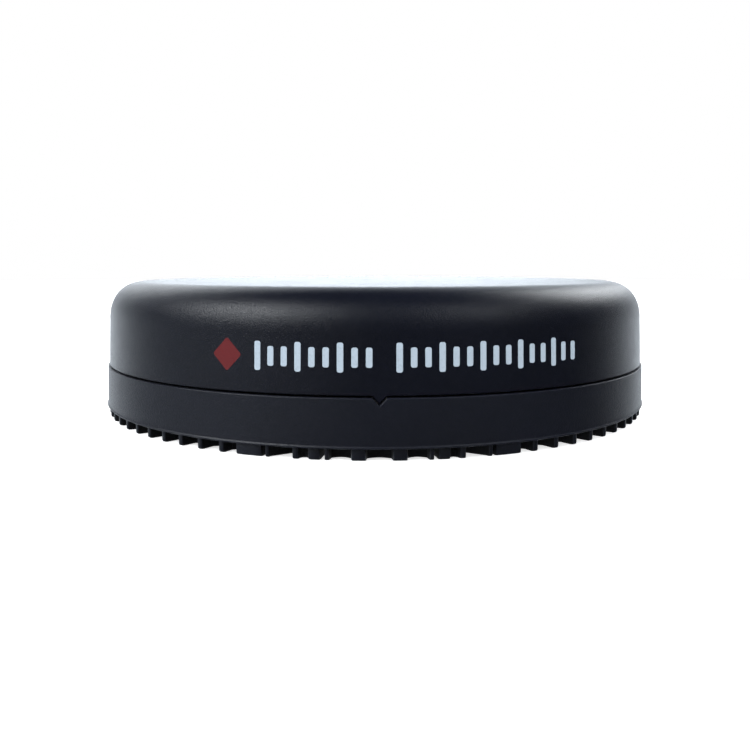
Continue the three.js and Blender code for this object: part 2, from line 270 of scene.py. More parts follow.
def ring_mesh(outline, inner_outline, bottom, top, edge):
    """A closed ring between two outlines of equal length, in (radius, angle), with soft tips."""
    soft = [(bottom + edge, 0), (bottom + 0.3 * edge, 0.3 * edge), (bottom, edge)]
    levels = [[on_circle(radius, angle, top) for radius, angle in outline]]
    for height, inset in soft:
        levels.append([on_circle(radius - inset, angle, height) for radius, angle in outline])
    for height, inset in reversed(soft):
        levels.append([on_circle(radius + inset, angle, height) for radius, angle in inner_outline])
    levels.append([on_circle(radius, angle, top) for radius, angle in inner_outline])
    count = len(outline)
    vertices = [vertex for level in levels for vertex in level]
    faces = []
    for row in range(len(levels)):
        low, high = row * count, ((row + 1) % len(levels)) * count
        for step in range(count):
            after = (step + 1) % count
            faces.append([low + after, low + step, high + step, high + after])
    return mesh_of("ring", vertices, faces)


# Materials

SHEEN = 0.07


class Look:
    """A node material under construction: a Principled shader and what feeds it."""

    def __init__(self, name, colour, roughness, metallic=0.0, specular=0.5):
        self.material = bpy.data.materials.new(name)
        self.material.use_nodes = True
        self.tree = self.material.node_tree
        self.shader = self.tree.nodes["Principled BSDF"]
        self.shader.inputs["Base Color"].default_value = (*colour, 1)
        self.shader.inputs["Roughness"].default_value = roughness
        self.shader.inputs["Metallic"].default_value = metallic
        self.shader.inputs["Specular IOR Level"].default_value = specular
        self.place = self.node("ShaderNodeTexCoord").outputs["Object"]
        self.height = None

    def node(self, kind, **settings):
        made = self.tree.nodes.new(kind)
        for name, value in settings.items():
            setattr(made, name, value)
        return made

    def link(self, source, target):
        self.tree.links.new(source, target)

    def noise(self, scale, detail=2.0, roughness=0.5, place=None):
        made = self.node("ShaderNodeTexNoise")
        made.inputs["Scale"].default_value = scale
        made.inputs["Detail"].default_value = detail
        made.inputs["Roughness"].default_value = roughness
        self.link(place or self.place, made.inputs["Vector"])
        return made.outputs["Fac"]

    def cells(self, scale, feature="F1"):
        made = self.node("ShaderNodeTexVoronoi", feature=feature)
        made.inputs["Scale"].default_value = scale
        self.link(self.place, made.inputs["Vector"])
        return made.outputs["Distance"]

    def spread(self, value, low, high, to_low=0.0, to_high=1.0):
        made = self.node("ShaderNodeMapRange")
        made.inputs["From Min"].default_value = low
        made.inputs["From Max"].default_value = high
        made.inputs["To Min"].default_value = to_low
        made.inputs["To Max"].default_value = to_high
        self.link(value, made.inputs["Value"])
        return made.outputs["Result"]

    def maths(self, operation, one, two=None):
        made = self.node("ShaderNodeMath", operation=operation)
        for socket, value in zip(made.inputs, (one, two)):
            if value is None:
                continue
            if isinstance(value, (int, float)):
                socket.default_value = value
            else:
                self.link(value, socket)
        return made.outputs["Value"]

    def radius(self):
        """The distance from the puck's axis, and the height."""
        split = self.node("ShaderNodeSeparateXYZ")
        self.link(self.place, split.inputs["Vector"])
        flat = self.node("ShaderNodeCombineXYZ")
        self.link(split.outputs["X"], flat.inputs["X"])
        self.link(split.outputs["Y"], flat.inputs["Y"])
        length = self.node("ShaderNodeVectorMath", operation="LENGTH")
        self.link(flat.outputs["Vector"], length.inputs[0])
        return length.outputs["Value"], split.outputs["Z"]

    def inside(self, radius, height):
        """1 nearer the axis than a radius and below a height, and 0 elsewhere."""
        out, up = self.radius()
        near = self.spread(out, radius - 0.1 * MM, radius, 1.0, 0.0)
        return self.maths("MULTIPLY", near, self.spread(up, height - 0.05 * MM, height, 1.0, 0.0))

    def mixed(self, part, one, two):
        """A colour between two, each a tuple or a socket."""
        made = self.node("ShaderNodeMix", data_type="RGBA")
        self.link(part, made.inputs["Factor"])
        for socket, value in ((made.inputs["A"], one), (made.inputs["B"], two)):
            if isinstance(value, tuple):
                socket.default_value = (*value, 1)
            else:
                self.link(value, socket)
        return made.outputs["Result"]

    def paint(self, colour):
        self.link(colour, self.shader.inputs["Base Color"])

    def rough(self, value):
        self.link(value, self.shader.inputs["Roughness"])

    def bump(self, height, strength, distance):
        made = self.node("ShaderNodeBump")
        made.inputs["Strength"].default_value = strength
        made.inputs["Distance"].default_value = distance
        self.link(height, made.inputs["Height"])
        if self.height is not None:
            self.link(self.height, made.inputs["Normal"])
        self.height = made.outputs["Normal"]
        self.link(self.height, self.shader.inputs["Normal"])

    def edges(self, radius, low=0.02, high=0.25):
        """1 on edges and 0 on open surfaces."""
        bevel = self.node("ShaderNodeBevel", samples=4)
        bevel.inputs["Radius"].default_value = radius
        plain = self.node("ShaderNodeNewGeometry").outputs["Normal"]
        product = self.node("ShaderNodeVectorMath", operation="DOT_PRODUCT")
        self.link(bevel.outputs["Normal"], product.inputs[0])
        self.link(plain, product.inputs[1])
        away = self.maths("SUBTRACT", 1.0, product.outputs["Value"])
        return self.spread(away, low, high)


def scaled(colour, factor):
    return tuple(min(1.0, part * factor) for part in colour)


def moulded(name, colour, roughness, grain, grain_depth, wear, shaded_recess=None):
    """Moulded black plastic or rubber: spark texture, uneven sheen, and edges a little lighter.

    A recess (radius, height) makes everything inside that radius and below that height rougher, as
    tread pockets are that no hand polishes, and darker with painted shade, for the shade that falls in
    them.
    """
    look = Look(name, colour, roughness)
    look.shader.inputs["Sheen Weight"].default_value = SHEEN
    look.shader.inputs["Sheen Roughness"].default_value = 0.3
    cloud = look.noise(55, detail=4)
    smudge = look.noise(160, detail=3, roughness=0.6)
    specks = look.noise(grain, detail=3, roughness=0.65)
    fine = look.noise(grain * 2.7, detail=2)
    worn = look.maths("MULTIPLY", look.edges(0.35 * MM), look.spread(look.noise(900, 3), 0.35, 0.7))
    tint = look.mixed(look.spread(cloud, 0.3, 0.7), scaled(colour, 0.88), scaled(colour, 1.12))
    tint = look.mixed(look.spread(specks, 0.58, 0.75, 0, 0.35), tint, scaled(colour, 1.9))
    tint = look.mixed(look.maths("MULTIPLY", worn, wear), tint, scaled(colour, 4.0))
    if shaded_recess:
        # Painted shade: inside the recess the colour is darkened to stand in for the shade in the
        # pockets.
        deep = look.inside(*shaded_recess)
        tint = look.mixed(deep, tint, scaled(colour, 0.35))
    look.paint(tint)
    gloss = look.spread(smudge, 0.3, 0.7, roughness - 0.015, roughness + 0.015)
    gloss = look.maths("ADD", gloss, look.spread(specks, 0.3, 0.7, -0.07, 0.07))
    gloss = look.maths("SUBTRACT", gloss, look.maths("MULTIPLY", worn, 0.08))
    if shaded_recess:
        gloss = look.maths("ADD", gloss, look.maths("MULTIPLY", deep, 0.4))
    look.rough(gloss)
    look.bump(specks, 0.6, grain_depth)
    look.bump(fine, 0.3, 0.4 * grain_depth)
    return look.material


def steel(name, colour, roughness):
    """Zinc-plated steel with a turned grain and a faint spangle."""
    look = Look(name, colour, roughness, metallic=1.0)
    out, up = look.radius()
    polar = look.node("ShaderNodeCombineXYZ")
    look.link(out, polar.inputs["X"])
    look.link(up, polar.inputs["Y"])
    grain = look.noise(2600, detail=4, roughness=0.7, place=polar.outputs["Vector"])
    blotch = look.noise(140, detail=3)
    spangle = look.cells(700)
    tint = look.mixed(look.spread(blotch, 0.3, 0.7), scaled(colour, 0.86), scaled(colour, 1.1))
    tint = look.mixed(look.spread(spangle, 0.2, 0.9, 0, 0.25), tint, scaled(colour, 1.2))
    look.paint(look.mixed(look.spread(grain, 0.35, 0.65, 0, 0.3), tint, scaled(colour, 0.7)))
    look.rough(look.spread(grain, 0.3, 0.7, roughness - 0.06, roughness + 0.1))
    look.bump(grain, 0.3, 0.01 * MM)
    return look.material


def foam(name, colour):
    """Closed-cell foam with open pores on its cut faces."""
    look = Look(name, colour, 0.9, specular=0.3)
    pores = look.cells(2200)
    small = look.cells(5200)
    cloud = look.noise(120, detail=4)
    tint = look.mixed(look.spread(cloud, 0.3, 0.7), scaled(colour, 0.85), scaled(colour, 1.15))
    look.paint(look.mixed(look.spread(pores, 0.1, 0.55), scaled(colour, 0.45), tint))
    look.rough(look.spread(cloud, 0.3, 0.7, 0.85, 0.98))
    look.bump(pores, 0.7, 0.12 * MM)
    look.bump(small, 0.4, 0.05 * MM)
    return look.material


def ink(name, colour):
    """Pad-printed ink, a little uneven, with the plastic's texture coming through."""
    look = Look(name, colour, 0.42)
    cover = look.noise(2400, detail=3, roughness=0.7)
    specks = look.noise(4200, detail=3, roughness=0.65)
    look.paint(look.mixed(look.spread(cover, 0.52, 0.78, 0, 0.45), colour, scaled(colour, 0.55)))
    look.rough(look.spread(specks, 0.3, 0.7, 0.36, 0.5))
    look.bump(specks, 0.3, 0.012 * MM)
    return look.material


BLACK_PLASTIC = moulded("black_plastic", (0.0022, 0.0031, 0.0082), 0.36, 4600, 0.1 * MM, 0.35)
BLACK_RUBBER = moulded(
    "black_rubber", (0.0042, 0.0054, 0.0118), 0.44, 3300, 0.11 * MM, 0.4,
    # The tread pockets get painted shade and more roughness.
    shaded_recess=(TREAD_RADIUS - 0.15 * MM, TREAD_HEIGHT),
)
GREY_PLASTIC = moulded("grey_plastic", (0.032, 0.033, 0.036), 0.5, 2600, 0.02 * MM, 0.4)
GREY_FOAM = foam("grey_foam", (0.075, 0.077, 0.08))
WEIGHT_STEEL = steel("weight_steel", (0.5, 0.5, 0.49), 0.34)
ZINC_STEEL = steel("zinc_steel", (0.58, 0.58, 0.55), 0.26)
WHITE_INK = ink("white_ink", (0.342, 0.408, 0.475))
RED_INK = ink("red_ink", (0.106, 0.003, 0.005))


# Cap

def shoulder(offset, steps):
    """The rounded shoulder, from its foot on the wall to the start of the crown."""
    centre = SHOULDER_RADIUS - SHOULDER_WIDTH
    points = []
    for step in range(steps + 1):
        angle = math.pi / 2 * step / steps
        across = (SHOULDER_WIDTH - offset) * math.cos(angle) ** (2 / SHOULDER_POWER)
        up = (SHOULDER_DROP - offset) * math.sin(angle) ** (2 / SHOULDER_POWER)
        points.append((centre + across, SHOULDER_FOOT + up))
    return points


def crown(steps):
    """The gentle rise from the shoulder to the flat middle of the top."""
    start = SHOULDER_RADIUS - SHOULDER_WIDTH
    points = []
    for step in range(1, steps + 1):
        part = step / steps
        rise = CROWN * (1 - (1 - part) ** 2)
        points.append((start + (FLAT_TOP - start) * part, CAP_TOP - CROWN + rise))
    return points


def key_shape(point, angle, depth, distance, fade):
    """How far a V at angle 0 lowers a point that lies a distance from the edge with the V."""
    radius = point[0]
    if radius < BAND_INNER - TOUCH or math.cos(angle) < 0:
        return 0
    full, none = fade
    part = min(1.0, max(0.0, (none - distance) / (none - full)))
    return max(0.0, depth - abs(radius * math.sin(angle)) * KEY_SLOPE) * part


def key_drop(point, angle):
    """How far the key lowers a point of the cap's rim."""
    return key_shape(point, angle, KEY_DEPTH, point[1] - CAP_RIM, KEY_FADE)


def cap_shell():
    spigot_foot = CAP[0].z
    wall_inner = SHOULDER_RADIUS - WALL
    inner = [(0, CAP_TOP - WALL), (FLAT_TOP, CAP_TOP - WALL), *reversed(shoulder(WALL, 10))]
    low = rounded([
        (wall_inner, CAP_RIM + 2 * SPIGOT_ROOT_TOP, 0),
        (wall_inner, CAP_RIM + SPIGOT_ROOT_TOP, 1.0 * MM),
        (SPIGOT_INNER, CAP_RIM + SPIGOT_ROOT, 0.8 * MM),
        (SPIGOT_INNER, spigot_foot, 0.25 * MM),
        (SPIGOT_OUTER, spigot_foot, 0.35 * MM),
        (SPIGOT_OUTER, CAP_RIM, 0.12 * MM),
        (BAND_INNER - 0.01 * MM, CAP_RIM, 0),
        (BAND_INNER, CAP_RIM, 0),
        (CAP_RADIUS, CAP_RIM, 0.16 * MM),
        (SHOULDER_RADIUS + 0.12 * MM, SHOULDER_FOOT - 3 * MM, 0),
    ])
    outer = [*shoulder(0, 40), *crown(6), (0, CAP_TOP)]
    return turned("cap_shell", inner + low + outer, angles=key_angles(), drop=key_drop)


def cap_ribs():
    """Stiffening ribs in the corner between the cap's ceiling and its wall."""
    low, high = CAP_TOP - WALL - 5.4 * MM, CAP_TOP - WALL + 0.1 * MM
    start, stop = 40.1 * MM, SHOULDER_RADIUS - WALL + 0.4 * MM
    width, tip_width, lean = 1.4 * MM, 1.12 * MM, 1.2 * MM
    ribs = []
    for index in range(CAP_RIB_COUNT):
        work = bmesh.new()
        made = bmesh.ops.create_cube(work, size=1)
        for vertex in made["verts"]:
            at_tip = vertex.co.z < 0
            along = start if vertex.co.x < 0 else stop
            along += lean if vertex.co.x < 0 and at_tip else 0
            side = vertex.co.y * (tip_width if at_tip else width)
            vertex.co = Vector((along, side, low if at_tip else high))
        bmesh.ops.bevel(work, geom=work.edges[:], offset=0.2 * MM, segments=3, affect="EDGES")
        turn = 2 * math.pi * index / CAP_RIB_COUNT
        for vertex in work.verts:
            x, y = vertex.co.x, vertex.co.y
            vertex.co.x = x * math.cos(turn) - y * math.sin(turn)
            vertex.co.y = x * math.sin(turn) + y * math.cos(turn)
        rib = bpy.data.meshes.new("rib")
        work.to_mesh(rib)
        work.free()
        ribs.append(rib)
    return ribs


def make_cap():
    mesh = joined("cap_shell", [cap_shell(), *cap_ribs()])
    piece = finish_mesh("cap_shell", mesh, [BLACK_PLASTIC])
    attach(piece, "cap")
    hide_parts("top_cap")


# Print: plain marks of no meaning, where the cap carries its print

PRINT_HEIGHT = 15.0 * MM
INK_PROUD = 0.025 * MM
INK_ROOT = 0.05 * MM
TICK_WIDTH = 0.95 * MM
TALL_TICK = 4.3 * MM
SHORT_TICK = 2.9 * MM
TALL_EVERY = 3
TICK_CORNER = 0.3 * MM
TICK_PITCH = 2.25  # degrees
TICK_ROWS = ((-19.6, 9), (3.1, 15))  # where each row starts in degrees, and how many ticks it has
DIAMOND_SIZE = 3.6 * MM
DIAMOND_CORNER = 0.35 * MM
DIAMOND_PLACE = -25.2  # degrees


def wall_radius(height):
    """The radius of the cap's wall at a height."""
    part = (height - CAP_RIM) / (SHOULDER_FOOT - CAP_RIM)
    return CAP_RADIUS + (SHOULDER_RADIUS - CAP_RADIUS) * min(1.0, max(0.0, part))


def mark(name, outline, degrees, rings=4):
    """A convex mark with its outline in metres across and up, laid on the wall at an angle."""
    centre = math.radians(degrees)
    vertices, faces = [], []
    count = len(outline)

    def lay(across, up, proud):
        height = PRINT_HEIGHT + up
        radius = wall_radius(height) + proud
        vertices.append(on_circle(radius, centre + across / CAP_RADIUS, height))

    for proud in (INK_PROUD, -INK_ROOT):
        lay(0, 0, proud)
        for ring in range(1, rings + 1):
            for across, up in outline:
                lay(across * ring / rings, up * ring / rings, proud)
    half = 1 + rings * count
    for base, flip in ((0, False), (half, True)):
        for step in range(count):
            after = (step + 1) % count
            fan = [base, base + 1 + step, base + 1 + after]
            faces.append(fan[::-1] if flip else fan)
            for ring in range(rings - 1):
                low = base + 1 + ring * count
                quad = [low + step, low + count + step, low + count + after, low + after]
                faces.append(quad[::-1] if flip else quad)
    rim = 1 + (rings - 1) * count
    for step in range(count):
        after = (step + 1) % count
        faces.append([rim + step, half + rim + step, half + rim + after, rim + after])
    return mesh_of(name, vertices, faces)


def soft_box(width, height, corner, steps=4):
    """The outline of a bar with rounded corners, counter-clockwise."""
    points = []
    for quarter, (side, up) in enumerate(((1, -1), (1, 1), (-1, 1), (-1, -1))):
        for step in range(steps + 1):
            angle = math.pi / 2 * (quarter - 1 + step / steps)
            x = side * (width / 2 - corner) + corner * math.cos(angle)
            y = up * (height / 2 - corner) + corner * math.sin(angle)
            points.append((x, y))
    return points


def diamond(size, corner):
    """A square on its corner, slightly rounded."""
    turn = math.sqrt(0.5)
    return [((x - y) * turn, (x + y) * turn) for x, y in soft_box(size, size, corner)]


def make_print():
    tall = soft_box(TICK_WIDTH, TALL_TICK, TICK_CORNER)
    short = soft_box(TICK_WIDTH, SHORT_TICK, TICK_CORNER)
    ticks = []
    for start, count in TICK_ROWS:
        for index in range(count):
            outline = tall if index % TALL_EVERY == 0 else short
            ticks.append(mark("tick", outline, start + TICK_PITCH * index))
    white = finish_mesh("white_print", joined("white_print", ticks), [WHITE_INK])
    red_mark = mark("red_print", diamond(DIAMOND_SIZE, DIAMOND_CORNER), DIAMOND_PLACE, rings=8)
    red = finish_mesh("red_print", red_mark, [RED_INK])
    for piece in (white, red):
        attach(piece, "cap")


# Rubber shoe

def notch_drop(point, angle):
    """How far the notch lowers a point of the band's top edge."""
    return key_shape(point, angle, KEY_DEPTH + NOTCH_CLEARANCE, BAND_TOP - point[1], NOTCH_FADE)


def shoe_body():
    profile = rounded([
        (0, TREAD_HEIGHT, 0),
        (PUCK_RADIUS - LIP_CORNER, TREAD_HEIGHT, 0.1 * MM),
        (PUCK_RADIUS, TREAD_HEIGHT + LIP_CORNER, 0.06 * MM),
        (PUCK_RADIUS, TREAD_HEIGHT + LIP_HEIGHT, 0.1 * MM),
        (PUCK_RADIUS - LIP_STEP, TREAD_HEIGHT + LIP_SLOPE_TOP, 0.2 * MM),
        (BAND_TOP_RADIUS, BAND_TOP, 0.16 * MM),
        (BAND_INNER, BAND_TOP, 0.15 * MM),
        (BAND_INNER, SOLE_TOP, 0.4 * MM),
        (0, SOLE_TOP, 0),
    ])
    return turned("shoe_body", profile, angles=key_angles(), drop=notch_drop)


# The gaps in half a sector of the outer tread: start and end in degrees from the sector's middle,
# and the depth in mm at either end.
HALF_SECTOR = [
    (4.4, 7.85, 1.95, 1.95),
    (8.6, 9.3, SLOT_DEPTH, SLOT_DEPTH),
    (11.2, 12.8, 1.1, 1.1),
    (13.8, 17.7, 4.0, 0.6),
    (18.35, 18.95, SLOT_DEPTH, SLOT_DEPTH),
    (23.6, 25.95, 2.4, 2.4),
]
MIDDLE_GAP = (-2.1, 2.1, 1.95, 1.95)
RIB_POCKET = 3.1


def sector_gaps():
    half = 180 / SECTORS
    right = list(HALF_SECTOR)
    for index in range(RIBS_PER_HALF):
        stop = half - RIB_PITCH * (RIBS_PER_HALF - 1.5 - index) - RIB_WIDTH / 2
        right.append((stop - RIB_PITCH + RIB_WIDTH, stop, RIB_POCKET, RIB_POCKET))
    left = [(-stop, -start, deep_end, deep) for start, stop, deep, deep_end in right[:-1]]
    return left[::-1] + [MIDDLE_GAP] + right


def gap_points(gap, steps=8):
    """(radius, degrees) points of the back of a gap: a straight slot, a scoop or a slanted wedge."""
    start, stop, deep, deep_end = gap
    width = stop - start
    side = min(0.15, 0.1 * width)
    points = []
    for step in range(steps + 1):
        part = step / steps
        depth = deep + (deep_end - deep) * part
        if deep == deep_end and deep < SLOT_DEPTH:
            depth *= 0.7 + 0.3 * math.sin(math.pi * part)
        points.append((TREAD_RADIUS - depth * MM, start + side + (width - 2 * side) * part))
    return points


def lug_points(start, stop):
    """(radius, degrees) points of a lug's face, with its corners rounded off."""
    corner = min(0.32, 0.3 * (stop - start))
    inner = [start + corner, stop - corner]
    steps = max(1, round((stop - start) / 1.2))
    across = [inner[0] + (inner[1] - inner[0]) * step / steps for step in range(steps + 1)]
    face = [(TREAD_RADIUS, degrees) for degrees in across]
    low, half = TREAD_RADIUS - 0.3 * MM, TREAD_RADIUS - 0.09 * MM
    before = [(low, start), (half, start + 0.3 * corner)]
    after = [(half, stop - 0.3 * corner), (low, stop)]
    return before + face + after


def outer_tread():
    gaps = []
    for sector in range(SECTORS):
        turn = 360 / SECTORS * sector
        gaps += [(start + turn, stop + turn, *depths) for start, stop, *depths in sector_gaps()]
    outline = []
    for index, gap in enumerate(gaps):
        following = gaps[(index + 1) % len(gaps)][0]
        if index == len(gaps) - 1:
            following += 360
        outline += gap_points(gap)
        outline += lug_points(gap[1], following)
    outline = [(radius, math.radians(degrees)) for radius, degrees in outline]
    inner = [(TREAD_INNER, angle) for _, angle in outline]
    return ring_mesh(outline, inner, 0, TREAD_ROOT, TREAD_EDGE)


def tread_block(inner, outer, start, stop):
    """One bevelled block of the inner tread."""
    steps = 4
    across = [math.radians(start + (stop - start) * step / steps) for step in range(steps + 1)]
    outline = [on_circle(outer, angle) for angle in across]
    outline += [on_circle(inner, angle) for angle in reversed(across)]
    work = bmesh.new()
    top = [work.verts.new((x, y, TREAD_ROOT)) for x, y, _ in outline]
    low = [work.verts.new((x, y, 0)) for x, y, _ in outline]
    count = len(outline)
    work.faces.new(top)
    floor = work.faces.new(low[::-1])
    for step in range(count):
        after = (step + 1) % count
        work.faces.new([top[after], top[step], low[step], low[after]])
    bmesh.ops.recalc_face_normals(work, faces=work.faces[:])
    bmesh.ops.bevel(work, geom=floor.edges[:], offset=TREAD_EDGE, segments=3, affect="EDGES")
    mesh = bpy.data.meshes.new("block")
    work.to_mesh(mesh)
    work.free()
    return mesh


def inner_tread():
    blocks = []
    for inner, outer, count, fill in BLOCK_RINGS:
        pitch = 360 / count
        for index in range(count):
            middle = pitch * (index + 0.5)
            heart = Vector(on_circle((inner + outer) / 2 * MM, math.radians(middle)))
            if min((screw_place(name) - heart).length for name in SCREWS) < BLOCK_CLEARANCE:
                continue
            reach = pitch * fill / 2
            blocks.append(tread_block(inner * MM, outer * MM, middle - reach, middle + reach))
    pad = rounded([
        (0, 0, 0),
        (CENTRE_PAD_RADIUS, 0, TREAD_EDGE),
        (CENTRE_PAD_RADIUS, TREAD_ROOT, 0),
        (0, TREAD_ROOT, 0),
    ])
    blocks.append(turned("centre_pad", pad, angles=even_angles(96)))
    return blocks


def screw_place(name):
    low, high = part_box(name)
    middle = (low + high) / 2
    return Vector((middle.x, middle.y, 0))


def drills(radius, bottom, top, steps=64):
    """Four round cutters, one at each screw."""
    cutters = []
    for name in SCREWS:
        place = screw_place(name)
        profile = [(0, bottom), (radius, bottom), (radius, top), (0, top)]
        cutter = turned("drill", profile, angles=even_angles(steps))
        for vertex in cutter.vertices:
            vertex.co += place
        cutters.append(cutter)
    return joined("drills", cutters)


def make_shoe():
    body = finish_mesh("shoe_body", shoe_body(), [BLACK_RUBBER])
    cut(body, drills(COUNTERBORE_RADIUS, -PAST, COUNTERBORE_TOP))
    cut(body, drills(HOLE_RADIUS, -PAST, SOLE_TOP + PAST))
    parts = [body.data.copy(), outer_tread(), *inner_tread()]
    bpy.data.objects.remove(body)
    for part in parts:
        part.materials.clear()
    piece = finish_mesh("shoe", joined("shoe", parts), [BLACK_RUBBER])
    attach(piece, "base")
    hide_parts("rubber_shoe")


# Inside

def make_tray():
    low, high, flange_radius = TRAY[0].z, TRAY[1].z, TRAY[1].x
    outer = SPIGOT_INNER - TRAY_GAP
    inner = outer - TRAY_WALL
    floor = low + TRAY_FLOOR
    profile = rounded([
        (0, low, 0),
        (flange_radius, low, 0.2 * MM),
        (flange_radius, low + TRAY_FLANGE, 0.2 * MM),
        (outer, low + TRAY_FLANGE, 0.1 * MM),
        (outer, high, 0.4 * MM),
        (inner, high, 0.4 * MM),
        (inner, floor, 0.6 * MM),
        (0, floor, 0),
    ])
    piece = finish_mesh("tray", turned("tray", profile), [GREY_PLASTIC])
    cut(piece, drills(HOLE_RADIUS, low - PAST, floor + PAST))
    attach(piece, "base")
    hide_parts("base_tray")


def make_weight():
    radius, low, high = WEIGHT[1].x, WEIGHT[0].z, WEIGHT[1].z
    profile = rounded([
        (0, low, 0),
        (radius, low, WEIGHT_EDGE),
        (radius, high, WEIGHT_EDGE),
        (0, high, 0),
    ], steps=8)
    piece = finish_mesh("weight", turned("weight", profile), [WEIGHT_STEEL])
    cut(piece, drills(HOLE_RADIUS, low - PAST, high + PAST))
    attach(piece, "base")
    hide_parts("weight_disc")


def make_pads():
    low, high, radius = WEIGHT_PAD[0].z, WEIGHT_PAD[1].z, WEIGHT_PAD[1].x
    corners = [(WEIGHT_PAD_HOLE, low), (radius, low), (radius, high), (WEIGHT_PAD_HOLE, high)]
    profile = rounded([(*corner, 0.25 * MM) for corner in corners], closed=True)
    piece = finish_mesh("weight_foam", turned("weight_foam", profile, closed=True), [GREY_FOAM])
    cut(piece, drills(PAD_HOLE_RADIUS, low - PAST, high + PAST))
    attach(piece, "base")
    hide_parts("weight_pad")
    low, high, radius = CAP_PAD[0].z, CAP_PAD[1].z, CAP_PAD[1].x
    profile = rounded([(0, low, 0), (radius, low, 1.2 * MM), (radius, high, 0.4 * MM), (0, high, 0)])
    piece = finish_mesh("cap_foam", turned("cap_foam", profile), [GREY_FOAM])
    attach(piece, "cap")
    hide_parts("cap_pad")


def screw_mesh():
    """A pan-head screw with its head down and a thread on its shank; its cross recess is cut
    afterwards.
    """
    low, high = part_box("screw_1")
    head_top = low.z + HEAD_HEIGHT
    profile = rounded([
        (0, low.z, 0),
        (HEAD_RADIUS - 0.5 * MM, low.z, 1.0 * MM),
        (HEAD_RADIUS, low.z + 0.75 * MM, 0.4 * MM),
        (HEAD_RADIUS, head_top, 0.12 * MM),
        (THREAD_CREST, head_top, 0.1 * MM),
        (THREAD_CREST, head_top + 0.8 * MM, 0.1 * MM),
        (THREAD_CORE, head_top + 1.1 * MM, 0),
        (THREAD_CORE, high.z - 0.4 * MM, 0),
        (THREAD_CORE - 0.4 * MM, high.z, 0),
        (0, high.z, 0),
    ])
    plain = turned("screw", profile, angles=even_angles(64))
    return joined("screw", [plain, thread_mesh(head_top + 1.2 * MM, high.z - 0.7 * MM)])


def thread_mesh(low, high, steps=32):
    """A helical ridge round the shank, tapering away at both ends."""
    count = int((high - low) / THREAD_PITCH * steps)
    root = THREAD_CORE - 0.05 * MM
    vertices, faces = [], []
    section = [(-0.42, 0), (-0.08, 1), (0.08, 1), (0.42, 0)]  # up in pitches, and out
    for step in range(count + 1):
        angle = 2 * math.pi * step / steps
        height = low + THREAD_PITCH * step / steps
        taper = min(1.0, step / steps, (count - step) / steps)
        for up, out in section:
            radius = root + (THREAD_CREST - root) * out * taper
            vertices.append(on_circle(radius, angle, height + up * THREAD_PITCH))
    size = len(section)
    for step in range(count):
        for side in range(size):
            after = (side + 1) % size
            near, far = step * size, (step + 1) * size
            faces.append([near + side, far + side, far + after, near + after])
    faces.append([0, 1, 2, 3])
    faces.append([count * size + side for side in (3, 2, 1, 0)])
    return mesh_of("thread", vertices, faces)


def cross_cutter(bottom):
    """The cross recess, with arms that taper as they go deeper."""
    mouth = (4.0 * MM, 0.9 * MM, -0.3 * MM)  # arm length, arm width, height over the head's face
    heart = (2.2 * MM, 0.6 * MM, 1.0 * MM)
    work = bmesh.new()
    for turn in (0, math.pi / 2):
        made = bmesh.ops.create_cube(work, size=1)
        for vertex in made["verts"]:
            length, width, depth = heart if vertex.co.z > 0 else mouth
            along = vertex.co.x * length
            side = vertex.co.y * width
            height = bottom + depth
            x = along * math.cos(turn) - side * math.sin(turn)
            y = along * math.sin(turn) + side * math.cos(turn)
            vertex.co = Vector((x, y, height))
    mesh = bpy.data.meshes.new("cross")
    work.to_mesh(mesh)
    work.free()
    return mesh


def make_fasteners():
    screw = finish_mesh("screw_pattern", screw_mesh(), [ZINC_STEEL])
    cut(screw, cross_cutter(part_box("screw_1")[0].z))
    low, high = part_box("washer_1")
    radius = (high.x - low.x) / 2
    corners = [(HOLE_RADIUS, low.z), (radius, low.z), (radius, high.z), (HOLE_RADIUS, high.z)]
    profile = rounded([(*corner, 0.15 * MM) for corner in corners], closed=True, steps=4)
    washer_data = turned("washer", profile, closed=True, angles=even_angles(64))
    washer = finish_mesh("washer_pattern", washer_data, [ZINC_STEEL])
    for pattern, names in ((screw, SCREWS), (washer, WASHERS)):
        for name in names:
            piece = bpy.data.objects.new(name + "_fine", pattern.data)
            piece.location = screw_place(name)
            bpy.context.scene.collection.objects.link(piece)
            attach(piece, "base")
            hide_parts(name)
        bpy.data.objects.remove(pattern)


# Stage

FLOOR_RADIUS = 1.2
FLOOR_LEVEL = -0.02 * MM  # just under the tread, so that no faces coincide
FLOOR_GLOW = 0.7


def make_floor():
    """A pale floor that is open to a view from below."""
    look = Look("pale_floor", (0.86, 0.86, 0.86), 0.7, specular=0.2)
    cloud = look.noise(3, detail=2)
    look.paint(look.mixed(cloud, (0.85, 0.85, 0.85), (0.87, 0.87, 0.87)))
    look.shader.inputs["Emission Color"].default_value = (1, 1, 1, 1)
    look.shader.inputs["Emission Strength"].default_value = FLOOR_GLOW
    below = look.node("ShaderNodeBsdfTransparent")
    mix = look.node("ShaderNodeMixShader")
    look.link(look.node("ShaderNodeNewGeometry").outputs["Backfacing"], mix.inputs[0])
    look.link(look.shader.outputs[0], mix.inputs[1])
    look.link(below.outputs[0], mix.inputs[2])
    look.link(mix.outputs[0], look.tree.nodes["Material Output"].inputs["Surface"])
    rim = [on_circle(FLOOR_RADIUS, angle, FLOOR_LEVEL) for angle in even_angles(96)]
    floor = finish_mesh("floor", mesh_of("floor", rim, [list(range(len(rim)))]), [look.material])
    floor.visible_glossy = False


DIM = 0.025  # the whole room
WINDOW = 1.3  # the high window
GLOW = 4.7  # the band behind the puck that its top reflects


